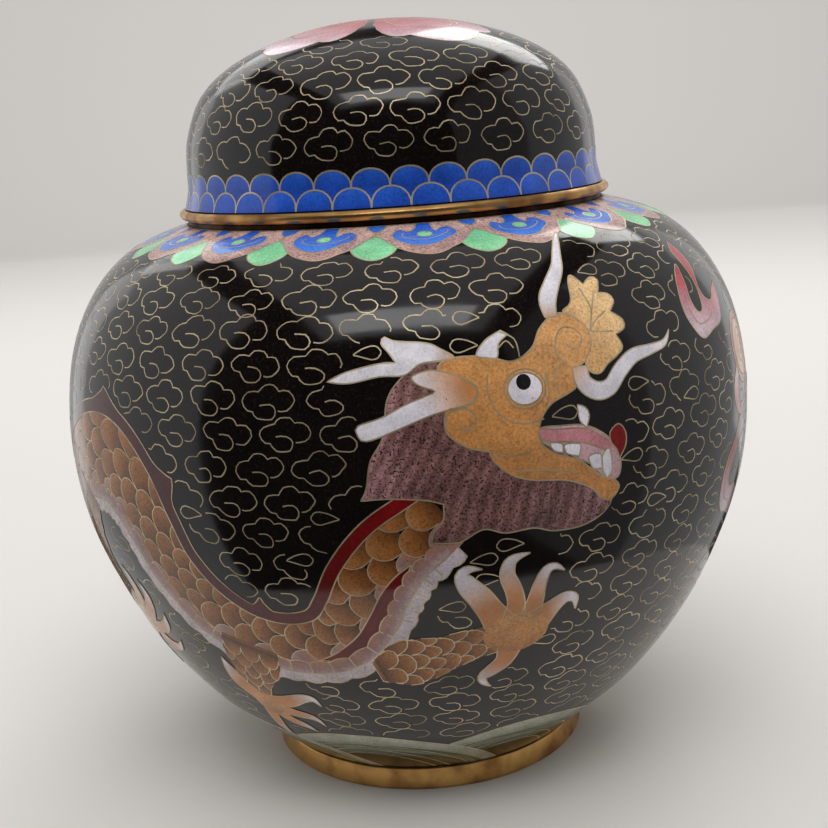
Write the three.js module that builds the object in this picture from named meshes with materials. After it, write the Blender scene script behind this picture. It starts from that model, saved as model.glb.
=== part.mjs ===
// Lidded cloisonne jar: spun copper shells that carry enamel coats, closed by gilt brass rings.
// Millimetres, +Z up. The origin is the middle of the foot ring's resting face.
import * as THREE from "three";

// ---- Driving dimensions -------------------------------------------------------------------
const AROUND = 36; // flats around every turned piece
const STEP = 17; // longest flat along a face
const ENAMEL = 0.8; // coat of enamel on the outer face
const COPPER = 1.0; // spun copper sheet
const LINING = 0.5; // counter-enamel on the hidden faces
const SEAM = 0.05; // clearance between two faces that touch
const WIRE = 0.4; // brass wire that parts two enamel coats

// Outer face of the body, [radius, height], from the foot ring up to the root of the neck.
const BODY_OUTLINE = [
  [44, 6.6], [54.7, 16.3], [67.3, 29], [80, 48.3], [90.1, 74.1], [93, 97],
  [90.4, 119], [82.9, 135.4], [71.5, 146.1], [56.2, 151.6],
];
// Outer face of the lid, from its rim ring up to the crown on the axis.
const LID_OUTLINE = [
  [56.2, 155.8], [55, 160.6], [54.7, 167.4], [53.7, 174.2], [49.5, 183.7],
  [41.7, 190.7], [29.4, 196.3], [14.5, 199.9], [0, 200.8],
];

const WAVE_BORDER = 18; // height of the wave border, measured along the face
const SHOULDER_BORDER = 16; // width of the lappet border round the neck, along the face
const SCALE_BORDER = 9; // height of the scale border round the lid, along the face
const GIRTH_SEAM = 92; // height where the two copper halves are brazed together

// The collar, its coat and its lip stand inside the lid and leave it room to lift and turn.
const NECK = { radius: 51, height: 13, lip: 1.9 };
const SEAT_RADIUS = 55.8; // outer face of the ring that the lid rests on
const RIM = { outer: 57.9, inner: 53.4, bottom: 153, height: 2.6, bead: 0.9, fall: 0.7 };
const FOOT = { bottom: 44.8, top: 44.2, inner: 39.5, height: 6.4, bead: 0.8 };

// ---- Finishes -----------------------------------------------------------------------------
const finish = (color, roughness, metalness) =>
  new THREE.MeshStandardMaterial({ color, roughness, metalness });
const copperSheet = finish(0xa8623c, 0.45, 1);
const giltBrass = finish(0xc79a3c, 0.32, 1);
const blackEnamel = finish(0x0a0a0c, 0.12, 0);
const blueEnamel = finish(0x2f62c8, 0.15, 0);
const celadonEnamel = finish(0x9fb79a, 0.15, 0);
const rosePinkEnamel = finish(0xb98a8c, 0.2, 0);
const turquoiseEnamel = finish(0x3f9c9a, 0.25, 0);

// ---- Faces --------------------------------------------------------------------------------
const point = (radius, height) => new THREE.Vector2(radius, height);

function outlineCurve(outline) {
  return new THREE.SplineCurve(outline.map(([radius, height]) => point(radius, height)));
}

// Distance along an outline at which it first reaches a height.
function distanceToHeight(curve, height) {
  const samples = 400;
  const reached = curve.getSpacedPoints(samples).findIndex((place) => place.y >= height);
  return (curve.getLength() * reached) / samples;
}

// Distances along a face: its breaks, with even steps no longer than STEP between them.
function stations(breaks) {
  const found = [breaks[0]];
  for (let i = 1; i < breaks.length; i++) {
    const stretch = breaks[i] - breaks[i - 1];
    const parts = Math.ceil(stretch / STEP);
    for (let k = 1; k <= parts; k++) found.push(breaks[i - 1] + (stretch * k) / parts);
  }
  return found;
}

const bodyCurve = outlineCurve(BODY_OUTLINE);
const lidCurve = outlineCurve(LID_OUTLINE);
const bodyLength = bodyCurve.getLength();
const lidLength = lidCurve.getLength();
const girth = distanceToHeight(bodyCurve, GIRTH_SEAM);

// The distances at which one coat or shell ends and the next begins.
const body = {
  curve: bodyCurve,
  waveTop: WAVE_BORDER - WIRE / 2,
  groundBottom: WAVE_BORDER + WIRE / 2,
  lowerTop: girth,
  upperBottom: girth + SEAM,
  groundTop: bodyLength - SHOULDER_BORDER - WIRE / 2,
  lappetBottom: bodyLength - SHOULDER_BORDER + WIRE / 2,
  top: bodyLength,
};
body.stations = stations([
  0, body.waveTop, body.groundBottom, body.lowerTop, body.upperBottom, body.groundTop,
  body.lappetBottom, body.top,
]);
const lid = {
  curve: lidCurve,
  scaleTop: SCALE_BORDER - WIRE / 2,
  groundBottom: SCALE_BORDER + WIRE / 2,
  top: lidLength,
};
lid.stations = stations([0, lid.scaleTop, lid.groundBottom, lid.top]);

// Points of a face, moved inwards by a depth, at its stations between two distances. Every
// coat on a face uses the same stations, so nested coats keep their distance all over.
function faceLine(face, from, to, depth) {
  const slack = SEAM / 4;
  const inside = face.stations.filter((s) => s > from - slack && s < to + slack);
  return inside.map((distance) => {
    const along = Math.min(1, distance / face.top);
    const place = face.curve.getPointAt(along);
    const tangent = face.curve.getTangentAt(along);
    return point(place.x - tangent.y * depth, place.y + tangent.x * depth);
  });
}

// ---- Turning helpers ----------------------------------------------------------------------
const closed = (profile) => [...profile, profile[0].clone()];

// A named piece turned about Z from the outline of its section.
function turned(name, profile, material) {
  const geometry = new THREE.LatheGeometry(profile, AROUND);
  geometry.rotateX(Math.PI / 2);
  const mesh = new THREE.Mesh(geometry, material);
  mesh.name = name;
  return mesh;
}

// A coat between two depths under a face.
function coat(name, face, from, to, outer, inner, material) {
  const front = faceLine(face, from, to, outer);
  const back = faceLine(face, from, to, inner).reverse();
  return turned(name, closed([...front, ...back]), material);
}

// A coat that closes over the crown of the lid, on the axis.
function dome(name, from, outer, inner, material) {
  const front = faceLine(lid, from, lid.top, outer);
  const back = faceLine(lid, from, lid.top, inner).reverse();
  front[front.length - 1].x = 0;
  back[0].x = 0;
  return turned(name, [...back, ...front], material);
}

// A bowl with a flat floor: the floor's two faces meet the walls at their lowest points.
function bowl(name, to, outer, inner, rim, material) {
  const front = faceLine(body, 0, to, outer);
  const back = faceLine(body, 0, to, inner).reverse();
  const under = point(0, front[0].y);
  const over = point(0, back[back.length - 1].y);
  return turned(name, [under, ...front, ...rim, ...back, over], material);
}

// A ring of square section, given by its radii and heights.
function squareRing(name, outer, inner, bottom, top, material) {
  const profile = [
    point(outer, bottom), point(outer, top), point(inner, top), point(inner, bottom),
  ];
  return turned(name, closed(profile), material);
}

// ---- Body ---------------------------------------------------------------------------------
const shellFace = ENAMEL + SEAM;
const shellBack = shellFace + COPPER;
const liningFace = shellBack + SEAM;
const liningBack = liningFace + LINING;
const neckRoot = BODY_OUTLINE[BODY_OUTLINE.length - 1][1];
const neckTop = neckRoot + NECK.height;
const bore = NECK.radius - COPPER;
const heightAtNeck = (depth) => faceLine(body, body.top, body.top, depth)[0].y;
const shoulderTop = heightAtNeck(shellFace) + SEAM;

// The foot ring is soldered under the floor of the lower half.
const lowerShell = () =>
  bowl("lower_shell", body.lowerTop, shellFace, shellBack, [], copperSheet);

// The upper half runs in to the collar, so it ends in a flat rim under the seat ring.
function upperShell() {
  const front = faceLine(body, body.upperBottom, body.top, shellFace);
  const back = faceLine(body, body.upperBottom, body.top, shellBack).reverse();
  const edge = NECK.radius + SEAM;
  const rim = [point(edge, front[front.length - 1].y), point(edge, back[0].y)];
  return turned("upper_shell", closed([...front, ...rim, ...back]), copperSheet);
}

const bodyEnamel = () =>
  coat("body_enamel", body, body.groundBottom, body.groundTop, 0, ENAMEL, blackEnamel);

const waveBorder = () =>
  coat("wave_border_enamel", body, 0, body.waveTop, 0, ENAMEL, celadonEnamel);

const shoulderBorder = () =>
  coat("shoulder_border_enamel", body, body.lappetBottom, body.top, 0, ENAMEL, rosePinkEnamel);

// The lining covers the inside of the body and runs up the bore of the neck to the lip.
function interiorEnamel() {
  const face = bore - SEAM;
  const back = face - LINING;
  const rim = [
    point(face, heightAtNeck(liningFace)), point(face, neckTop),
    point(back, neckTop), point(back, heightAtNeck(liningBack)),
  ];
  return bowl("interior_enamel", body.top, liningFace, liningBack, rim, turquoiseEnamel);
}

// The collar starts level with the back of the shoulder, whose edge it is brazed to.
const neckCollar = () =>
  squareRing("neck_collar", NECK.radius, bore, heightAtNeck(shellBack), neckTop, copperSheet);

const neckFace = NECK.radius + SEAM + LINING;
const neckEnamel = () =>
  squareRing("neck_enamel", neckFace, NECK.radius + SEAM, shoulderTop, neckTop, blackEnamel);

// The lip is a half-round bead over the raw edge of the collar.
function neckLip() {
  const middle = NECK.radius - COPPER / 2;
  const half = NECK.lip / 2;
  const bottom = neckTop + SEAM;
  const steps = 6;
  const arc = [];
  for (let i = 0; i <= steps; i++) {
    const angle = (Math.PI * i) / steps;
    arc.push(point(middle + half * Math.cos(angle), bottom + half * Math.sin(angle)));
  }
  return turned("neck_lip_ring", closed(arc), giltBrass);
}

// The lid's rim ring comes to rest on this ring, soldered round the root of the neck.
const seatRing = () =>
  squareRing("seat_ring", SEAT_RADIUS, neckFace + SEAM, shoulderTop, RIM.bottom - SEAM,
    giltBrass);

// ---- Foot ---------------------------------------------------------------------------------
function footRing() {
  const { bottom, top, inner, height, bead } = FOOT;
  const profile = [
    point(bottom - bead, 0), point(bottom, bead), point(top, height),
    point(inner, height), point(inner, bead), point(inner + bead, 0),
  ];
  return turned("foot_ring", closed(profile), giltBrass);
}

// Counter-enamel on the underside of the bowl, within the foot ring.
function baseEnamel() {
  const top = faceLine(body, 0, 0, shellFace)[0].y - SEAM;
  const radius = FOOT.inner - SEAM;
  const profile = [
    point(0, top - LINING), point(radius, top - LINING), point(radius, top), point(0, top),
  ];
  return turned("base_enamel", profile, turquoiseEnamel);
}

// ---- Lid ----------------------------------------------------------------------------------
const lidShell = () => dome("lid_shell", 0, shellFace, shellBack, copperSheet);

const lidInteriorEnamel = () =>
  dome("lid_interior_enamel", 0, liningFace, liningBack, turquoiseEnamel);

const lidEnamel = () => dome("lid_enamel", lid.groundBottom, 0, ENAMEL, blackEnamel);

const scaleBorder = () =>
  coat("lid_scale_border_enamel", lid, 0, lid.scaleTop, 0, ENAMEL, blueEnamel);

// Its upper face falls inwards, square to the ends of the shell and coats that stand on it.
function rimRing() {
  const { outer, inner, bottom, height, bead, fall } = RIM;
  const top = bottom + height;
  const profile = [
    point(outer - bead, bottom), point(outer, bottom + bead), point(outer, top - bead),
    point(outer - bead, top), point(inner, top - fall), point(inner, bottom),
  ];
  return turned("lid_rim_ring", closed(profile), giltBrass);
}

// ---- Assembly -----------------------------------------------------------------------------
const lidAssembly = new THREE.Group();
lidAssembly.add(lidShell(), lidInteriorEnamel(), lidEnamel(), scaleBorder(), rimRing());

const jarAssembly = new THREE.Group();
jarAssembly.add(lowerShell(), upperShell(), bodyEnamel(), waveBorder(), shoulderBorder());
jarAssembly.add(interiorEnamel(), neckCollar(), neckEnamel(), neckLip(), seatRing());
jarAssembly.add(footRing(), baseEnamel());

const liddedJar = new THREE.Group();
liddedJar.add(jarAssembly, lidAssembly);

export default liddedJar;
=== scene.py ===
# %% [markdown]
# # A lidded cloisonne jar
# This notebook dresses a jar whose sizes are already settled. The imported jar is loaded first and
# stays untouched. Every visible surface is then made in Blender on top of it: smooth coats of
# enamel, brass wires bent into clouds and dragons, and gilt rings.

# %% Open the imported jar
import math
import random
from bisect import bisect_right

import bmesh
import bpy
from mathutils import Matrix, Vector, noise
from mathutils.bvhtree import BVHTree
from mathutils.geometry import tessellate_polygon


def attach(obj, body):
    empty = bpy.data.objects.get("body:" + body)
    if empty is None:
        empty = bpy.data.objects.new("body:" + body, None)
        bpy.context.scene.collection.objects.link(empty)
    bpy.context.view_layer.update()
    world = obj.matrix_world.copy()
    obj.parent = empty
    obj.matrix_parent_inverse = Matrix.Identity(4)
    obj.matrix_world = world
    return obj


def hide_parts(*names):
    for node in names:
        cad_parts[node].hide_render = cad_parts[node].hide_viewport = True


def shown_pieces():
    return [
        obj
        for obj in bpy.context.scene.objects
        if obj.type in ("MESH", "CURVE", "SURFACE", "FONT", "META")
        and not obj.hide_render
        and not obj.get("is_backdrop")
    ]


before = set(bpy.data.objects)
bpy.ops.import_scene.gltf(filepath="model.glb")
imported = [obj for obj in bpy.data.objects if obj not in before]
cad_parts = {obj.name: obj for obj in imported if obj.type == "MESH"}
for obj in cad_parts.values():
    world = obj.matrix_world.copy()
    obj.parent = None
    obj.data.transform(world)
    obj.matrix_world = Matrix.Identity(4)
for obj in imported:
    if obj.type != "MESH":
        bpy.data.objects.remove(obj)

MM = 0.001  # every size below is in millimetres, and Blender works in metres
TURN = math.tau
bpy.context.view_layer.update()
scene = bpy.context.scene

# %% [markdown]
# ## The camera
# A camera is a pinhole with a place, a direction and a lens. A rotation in Blender turns it from
# looking straight down, so 90 degrees lifts it level. A small lens shift slides the picture
# without tilting the upright lines of the jar.

# %% Camera
def look_from(place, pitch, yaw, roll, lens, shift):
    data = bpy.data.cameras.new("camera")
    data.lens = lens
    data.shift_x, data.shift_y = shift
    data.clip_start = 0.01
    eye = bpy.data.objects.new("camera", data)
    scene.collection.objects.link(eye)
    forward = Vector((math.sin(yaw) * math.cos(pitch), math.cos(yaw) * math.cos(pitch),
                      -math.sin(pitch)))
    level = forward.cross(Vector((0, 0, 1))).normalized()
    upright = level.cross(forward)
    right = math.cos(roll) * level + math.sin(roll) * upright
    up = -math.sin(roll) * level + math.cos(roll) * upright
    turn = eye.matrix_world.to_3x3()
    turn.col[0], turn.col[1], turn.col[2] = right, up, -forward
    eye.matrix_world = turn.to_4x4()
    eye.location = place
    return eye


scene.camera = look_from(place=(0, -0.36036, 0.17668), pitch=math.radians(14.135),
                         yaw=math.radians(-0.23), roll=math.radians(-4.084), lens=56.545,
                         shift=(0.0099, 0.0318))
scene.view_settings.view_transform = "Standard"
print("camera at", [round(c, 3) for c in scene.camera.location])

# %% [markdown]
# ## Colours and shader nodes
# Colours are written on the familiar 0 to 255 scale and turned into linear light. One helper adds
# a shader node: a plain value is set on the socket, and another node's output is linked to it.
# The other helpers are short names for the nodes that come back most often.

# %% Node helpers
def colour(red, green, blue):
    linear = []
    for part in (red / 255, green / 255, blue / 255):
        linear.append(part / 12.92 if part < 0.04 else ((part + 0.055) / 1.055) ** 2.4)
    return (*linear, 1.0)


def add_node(tree, kind, values=None, **settings):
    made = tree.nodes.new("ShaderNode" + kind)
    for key, value in settings.items():
        setattr(made, key, value)
    for socket, value in (values or {}).items():
        if isinstance(value, bpy.types.NodeSocket):
            tree.links.new(value, made.inputs[socket])
        else:
            made.inputs[socket].default_value = value
    return made.outputs


def maths(tree, operation, *values):
    return add_node(tree, "Math", dict(enumerate(values)), operation=operation)[0]


def mixed(tree, amount, first, second):
    return add_node(tree, "Mix", {"Factor": amount, "A": first, "B": second},
                    data_type="RGBA")[2]


def cloudy(tree, place, scale, detail=2.0):
    return add_node(tree, "TexNoise", {"Vector": place, "Scale": scale, "Detail": detail})["Fac"]


def scaled_range(tree, value, low, high, start=0.3, stop=0.7):
    return add_node(tree, "MapRange", {"Value": value, "From Min": start, "From Max": stop,
                                       "To Min": low, "To Max": high})["Result"]


def new_group(name, inputs):
    tree = bpy.data.node_groups.new(name, "ShaderNodeTree")
    for label, value in inputs.items():
        kind = "NodeSocketColor" if isinstance(value, tuple) else "NodeSocketFloat"
        tree.interface.new_socket(label, in_out="INPUT", socket_type=kind).default_value = value
    place = add_node(tree, "TexCoord")["Object"]
    return tree, tree.nodes.new("NodeGroupInput").outputs, place


def put_out(tree, results):
    end = tree.nodes.new("NodeGroupOutput")
    for label, value in results.items():
        kind = "NodeSocketColor" if label == "Color" else "NodeSocketFloat"
        tree.interface.new_socket(label, in_out="OUTPUT", socket_type=kind)
        tree.links.new(value, end.inputs[label])
    print("group", tree.name, "gives", list(results))


# %% [markdown]
# ## Shared effect: mottled glass
# Cloisonne enamel is ground glass, wetted, packed between the wires and melted. The grains never
# mix completely, so each colour is a little cloudy and holds fine specks. Two noises do this: a
# fine one makes the value rise and fall, and a second one is cut off high to leave lone specks.

# %% Mottle group
glass_mottle, given, place = new_group("glass_mottle", {
    "Color": (0.5, 0.5, 0.5, 1.0), "Speck Color": (0.0, 0.0, 0.0, 1.0), "Grain Scale": 1500.0,
    "Grain Amount": 0.2, "Speck Amount": 0.5, "Cloud Amount": 0.15})
grain = cloudy(glass_mottle, place, given["Grain Scale"])
swing = scaled_range(glass_mottle, grain, -1.0, 1.0)
drift = scaled_range(glass_mottle, cloudy(glass_mottle, place, 160.0, 1.0), -1.0, 1.0)
fine = maths(glass_mottle, "MULTIPLY_ADD", swing, given["Grain Amount"], 1.0)
value = maths(glass_mottle, "MULTIPLY_ADD", drift, given["Cloud Amount"], fine)
shaded = add_node(glass_mottle, "HueSaturation", {"Color": given["Color"], "Value": value})
speck = cloudy(glass_mottle, place, 2300.0, 0.0)
lone = scaled_range(glass_mottle, speck, 0.0, 1.0, start=0.62, stop=0.68)
amount = maths(glass_mottle, "MULTIPLY", lone, given["Speck Amount"])
put_out(glass_mottle, {"Color": mixed(glass_mottle, amount, shaded["Color"],
                                      given["Speck Color"])})

# %% [markdown]
# ## Shared effect: polished skin
# After firing, the jar is ground flat and polished. Gas bubbles that the stone opens stay as
# pits, and the slow strokes of the stone leave the gloss slightly wavy. The group puts out a
# height for a Bump node, a mask of the pits, and a roughness that wanders around its middle.

# %% Skin group
polished_skin, given, place = new_group("polished_skin", {
    "Pit Scale": 420.0, "Pit Size": 0.1, "Roughness": 0.14, "Waviness": 0.5})
cells = add_node(polished_skin, "TexVoronoi", {"Vector": place, "Scale": given["Pit Scale"]})
size = maths(polished_skin, "MULTIPLY", cloudy(polished_skin, place, 240.0), given["Pit Size"])
pit = maths(polished_skin, "LESS_THAN", cells["Distance"], size)
slow = cloudy(polished_skin, place, 55.0, 1.0)
wave = maths(polished_skin, "MULTIPLY", slow, given["Waviness"])
haze = scaled_range(polished_skin, cloudy(polished_skin, place, 90.0, 3.0), -0.035, 0.05)
put_out(polished_skin, {"Height": maths(polished_skin, "SUBTRACT", wave, pit), "Pits": pit,
                        "Roughness": maths(polished_skin, "ADD", given["Roughness"], haze)})

# %% [markdown]
# ## Shared effect: handled metal
# Gilt brass and wire are bright where cloths and hands reach and dull where they don't. A cloudy
# noise mixes the clean and the tarnished colour, and fine stretched lines stand for polishing.

# %% Metal group
handled_metal, given, place = new_group("handled_metal", {
    "Clean": (0.8, 0.6, 0.3, 1.0), "Tarnish": (0.3, 0.2, 0.1, 1.0), "Wear Scale": 120.0,
    "Wear Amount": 0.5, "Roughness": 0.25})
patch = cloudy(handled_metal, place, given["Wear Scale"], 4.0)
worn = scaled_range(handled_metal, patch, 0.0, 1.0, start=0.42, stop=0.66)
amount = maths(handled_metal, "MULTIPLY", worn, given["Wear Amount"])
drawn = add_node(handled_metal, "Mapping", {"Vector": place, "Scale": (1.0, 1.0, 14.0)})[0]
put_out(handled_metal, {
    "Color": mixed(handled_metal, amount, given["Clean"], given["Tarnish"]),
    "Roughness": maths(handled_metal, "MULTIPLY_ADD", amount, 0.22, given["Roughness"]),
    "Height": cloudy(handled_metal, drawn, 260.0)})

# %% [markdown]
# ## Enamels
# Each enamel is one material. Its colours sit on a ramp, and a number called tone, kept on every
# point of a cell, picks the place on the ramp. So a claw can fade from ochre to white inside one
# cell, as the real fillings do.

# %% Enamel materials
def new_material(name):
    material = bpy.data.materials.new(name)
    material.use_nodes = True
    return material, material.node_tree, material.node_tree.nodes["Principled BSDF"]


def dress(tree, shader, color, roughness, height, strength, distance):
    """Link a colour, a roughness and a bump to a material's shader."""
    bump = add_node(tree, "Bump", {"Height": height, "Strength": strength, "Distance": distance})
    tree.links.new(color, shader.inputs["Base Color"])
    tree.links.new(roughness, shader.inputs["Roughness"])
    tree.links.new(bump["Normal"], shader.inputs["Normal"])


def enamel(name, stops, speck=(30, 25, 25), grain=0.16, specks=0.35, clouds=0.15, gloss=0.13):
    material, tree, shader = new_material(name)
    tone = add_node(tree, "Attribute", attribute_name="tone")["Fac"]
    ramp = add_node(tree, "ValToRGB", {"Fac": tone})["Color"]
    marks = ramp.node.color_ramp.elements
    while len(marks) < len(stops):
        marks.new(0.5)
    for mark, (position, shade) in zip(marks, stops):
        mark.position = position
        mark.color = colour(*shade)
    glass = add_node(tree, "Group", {"Color": ramp, "Speck Color": colour(*speck),
                                     "Grain Amount": grain, "Speck Amount": specks,
                                     "Cloud Amount": clouds}, node_tree=glass_mottle)
    skin = add_node(tree, "Group", {"Roughness": gloss}, node_tree=polished_skin)
    dirty = mixed(tree, skin["Pits"], glass["Color"], colour(28, 24, 20))
    dress(tree, shader, dirty, skin["Roughness"], skin["Height"], 0.25, 0.00012)
    shader.inputs["IOR"].default_value = 1.52
    return material


FINISHES = {
    "black": enamel("black_ground", [(0, (13, 6, 7)), (1, (30, 14, 14))], speck=(62, 50, 40),
                    grain=0.3, specks=0.25, clouds=0.3, gloss=0.1),
    "ochre": enamel("ochre_fill", [(0, (118, 66, 36)), (0.5, (222, 156, 92)),
                                   (1, (250, 208, 150))], speck=(120, 74, 48), grain=0.22),
    "scale": enamel("scale_fill", [(0, (62, 34, 20)), (0.5, (166, 106, 56)),
                                   (1, (206, 148, 94))], speck=(60, 32, 20), specks=0.5),
    "bone": enamel("bone_fill", [(0, (196, 128, 78)), (0.4, (178, 138, 132)),
                                 (1, (236, 228, 236))], speck=(120, 110, 115), specks=0.3),
    "horn": enamel("horn_fill", [(0, (216, 144, 84)), (0.4, (222, 182, 156)),
                                 (1, (246, 240, 248))], speck=(150, 140, 140), grain=0.08,
                   specks=0.2),
    "mane": enamel("mane_fill", [(0, (92, 64, 54)), (0.5, (134, 96, 92)), (1, (190, 140, 144))],
                   speck=(44, 26, 24), grain=0.4, specks=0.9, clouds=0.25),
    "red": enamel("red_fill", [(0, (138, 12, 14)), (0.5, (104, 26, 26)), (1, (84, 40, 42))],
                  speck=(60, 10, 12), grain=0.25),
    "rose": enamel("rose_fill", [(0, (176, 36, 46)), (0.45, (196, 84, 92)),
                                 (1, (232, 208, 216))], speck=(150, 70, 80), specks=0.25),
    "petal": enamel("petal_ground", [(0, (186, 146, 138)), (1, (214, 180, 172))],
                    speck=(96, 66, 64), grain=0.3, specks=0.8, clouds=0.2),
    "green": enamel("green_fill", [(0, (86, 150, 104)), (1, (148, 230, 170))],
                    speck=(60, 120, 80), specks=0.25),
    "blue": enamel("blue_fill", [(0, (18, 48, 144)), (0.5, (42, 96, 210)),
                                 (1, (84, 142, 236))], speck=(20, 30, 90), specks=0.3),
    "wave": enamel("wave_fill", [(0, (188, 190, 172)), (0.26, (160, 164, 142)),
                                 (0.28, (84, 92, 62)), (0.44, (136, 142, 112)),
                                 (0.46, (66, 74, 46)), (0.6, (104, 112, 78)),
                                 (0.62, (50, 50, 30)), (1, (44, 42, 24))],
                   speck=(50, 50, 36), specks=0.3),
    "lining": enamel("turquoise_lining", [(0, (62, 150, 150)), (1, (120, 190, 186))],
                     speck=(30, 84, 88), grain=0.14, specks=0.6, clouds=0.4, gloss=0.22),
}
print("enamels:", len(FINISHES))

# %% [markdown]
# ## Metals
# The cloison wires are thin brass, dulled by grinding. The rings were gilded, so they are yellower
# and smoother. The seat ring under the lid gets a dark brass colour instead, which is painted
# shade for the shadow under the lid's rim.
# Bare copper shows only at the edges of the spun shells.

# %% Metal materials
def metal(name, clean, tarnish, rough, wear, metallic=1.0):
    material, tree, shader = new_material(name)
    worn = add_node(tree, "Group", {"Clean": colour(*clean), "Tarnish": colour(*tarnish),
                                    "Wear Amount": wear, "Roughness": rough},
                    node_tree=handled_metal)
    dress(tree, shader, worn["Color"], worn["Roughness"], worn["Height"], 0.15, 0.00005)
    shader.inputs["Metallic"].default_value = metallic
    return material


FINISHES["wire"] = metal("cloison_wire", (222, 204, 168), (128, 108, 76), 0.42, 0.6, metallic=0.6)
FINISHES["gilt"] = metal("gilt_brass", (214, 168, 102), (134, 88, 46), 0.3, 0.7)
# The next finish is painted shade: its dark brass stands for the shadow under the lid's rim.
FINISHES["under_lid_shade"] = metal("painted_shade_brass", (76, 56, 36), (26, 20, 16), 0.5, 0.8)
FINISHES["copper"] = metal("spun_copper", (206, 128, 92), (110, 62, 44), 0.35, 0.6)
print("materials:", len(bpy.data.materials))

# %% [markdown]
# ## Soft lines
# Every drawn shape starts as a few points. A Catmull-Rom curve runs through all of them, so the
# given points decide the shape. A point marked as a tip breaks the curve there.

# %% Curves through points
class Tip(tuple):
    """A point where the line turns sharply."""


def tip(*place):
    return Tip(place)


def between(before, start, stop, after, w):
    place = []
    for p0, p1, p2, p3 in zip(before, start, stop, after):
        v0, v1 = (p2 - p0) / 2, (p3 - p1) / 2
        place.append((2 * p1 - 2 * p2 + v0 + v1) * w ** 3
                     + (-3 * p1 + 3 * p2 - 2 * v0 - v1) * w * w + v0 * w + p1)
    return tuple(place)


def soft(points, closed=True, step=0.9):
    count = len(points)
    line = []
    for i in range(count if closed else count - 1):
        start, stop = points[i], points[(i + 1) % count]
        open_start = isinstance(start, Tip) or not (closed or i)
        open_stop = isinstance(stop, Tip) or not (closed or i + 2 < count)
        before = start if open_start else points[i - 1]
        after = stop if open_stop else points[(i + 2) % count]
        parts = max(1, round(math.dist(start[:2], stop[:2]) / step))
        line += [between(before, start, stop, after, k / parts) for k in range(parts)]
    return line if closed else line + [tuple(points[-1])]


def stroke(points, step=0.9):
    """Outline of a tapering limb, whose points are (x, y, half width)."""
    spine = soft(points, closed=False, step=step)
    left, right = [], []
    for i, (x, y, half) in enumerate(spine):
        ahead, behind = spine[min(i + 1, len(spine) - 1)], spine[max(i - 1, 0)]
        dx, dy = ahead[0] - behind[0], ahead[1] - behind[1]
        length = math.hypot(dx, dy)
        left.append((x - dy / length * half, y + dx / length * half))
        right.append((x + dy / length * half, y - dx / length * half))
    return left + right[::-1]


def oval(x, y, across, up, points=20, lean=0.0):
    """Points of an ellipse."""
    line = []
    for k in range(points):
        a = TURN * k / points
        dx, dy = across * math.cos(a), up * math.sin(a)
        line.append((x + dx * math.cos(lean) - dy * math.sin(lean),
                     y + dx * math.sin(lean) + dy * math.cos(lean)))
    return line


# %% [markdown]
# ## The faces of the jar
# The jar is round, so one outline describes its whole face. A face turns a distance along that
# outline into a radius and a height, and gives the direction that points out of the surface.

# %% Faces
SAMPLES = 60


class Face:
    """An outline of (radius, height) points, measured along its length."""

    def __init__(self, outline, girth):
        self.girth = girth
        self.reach, self.places = [0.0], []
        samples = SAMPLES * (len(outline) - 1)
        for k in range(samples + 1):
            t = k / samples * (len(outline) - 1)
            i = min(int(t), len(outline) - 2)
            self.places.append(between(outline[max(i - 1, 0)], outline[i], outline[i + 1],
                                       outline[min(i + 2, len(outline) - 1)], t - i))
        for a, b in zip(self.places, self.places[1:]):
            self.reach.append(self.reach[-1] + math.dist(a, b))
        self.length = self.reach[-1]

    def at(self, distance, depth=0.0):
        """Radius and height at a distance along the face, and a depth below it."""
        r, z, out_r, out_z = self.frame(distance)
        return r - out_r * depth, z - out_z * depth

    def frame(self, distance):
        i = min(max(bisect_right(self.reach, distance) - 1, 0), len(self.reach) - 2)
        span = self.reach[i + 1] - self.reach[i]
        w = (distance - self.reach[i]) / span
        (r0, z0), (r1, z1) = self.places[i], self.places[i + 1]
        a, b = self.slope(i), self.slope(i + 1)
        tr, tz = a[0] + (b[0] - a[0]) * w, a[1] + (b[1] - a[1]) * w
        length = math.hypot(tr, tz)
        return r0 + (r1 - r0) * w, z0 + (z1 - z0) * w, tz / length, -tr / length

    def slope(self, i):
        r0, z0 = self.places[max(i - 1, 0)]
        r1, z1 = self.places[min(i + 1, len(self.places) - 1)]
        length = math.hypot(r1 - r0, z1 - z0)
        return (r1 - r0) / length, (z1 - z0) / length


BODY_FACE = Face([(44, 6.6), (54.7, 16.3), (67.3, 29), (80, 48.3), (90.1, 74.1), (93, 97),
                  (90.4, 119), (82.9, 135.4), (71.5, 146.1), (56.2, 151.6)], girth=93)
LID_FACE = Face([(56.2, 155.8), (55, 160.6), (54.7, 167.4), (53.7, 174.2), (49.5, 183.7),
                 (41.7, 190.7), (29.4, 196.3), (14.5, 199.9), (0, 200.8)], girth=56)
GIRTH, LID_GIRTH = TURN * BODY_FACE.girth, TURN * LID_FACE.girth
print("face lengths:", round(BODY_FACE.length, 2), round(LID_FACE.length, 2))

# %% [markdown]
# ## Turned pieces
# Shells, coats and rings are all bodies of revolution. Each one starts as the outline of its
# section, a closed loop of edges, and bmesh's spin sweeps it once around the axis. A vertex bevel
# on the flat outline rounds the corners of a ring before it is swept, which costs very little.

# %% Turning helper
AROUND, MERGE = 180, 0.002
CORNER_ANGLE = math.radians(40)


def finish_piece(name, bm, finish, body, nodes=()):
    mesh = bpy.data.meshes.new(name)
    bm.to_mesh(mesh)
    bm.free()
    mesh.materials.append(FINISHES[finish])
    piece = bpy.data.objects.new(name, mesh)
    scene.collection.objects.link(piece)
    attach(piece, body)
    if nodes:
        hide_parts(*nodes)
    return piece


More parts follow.
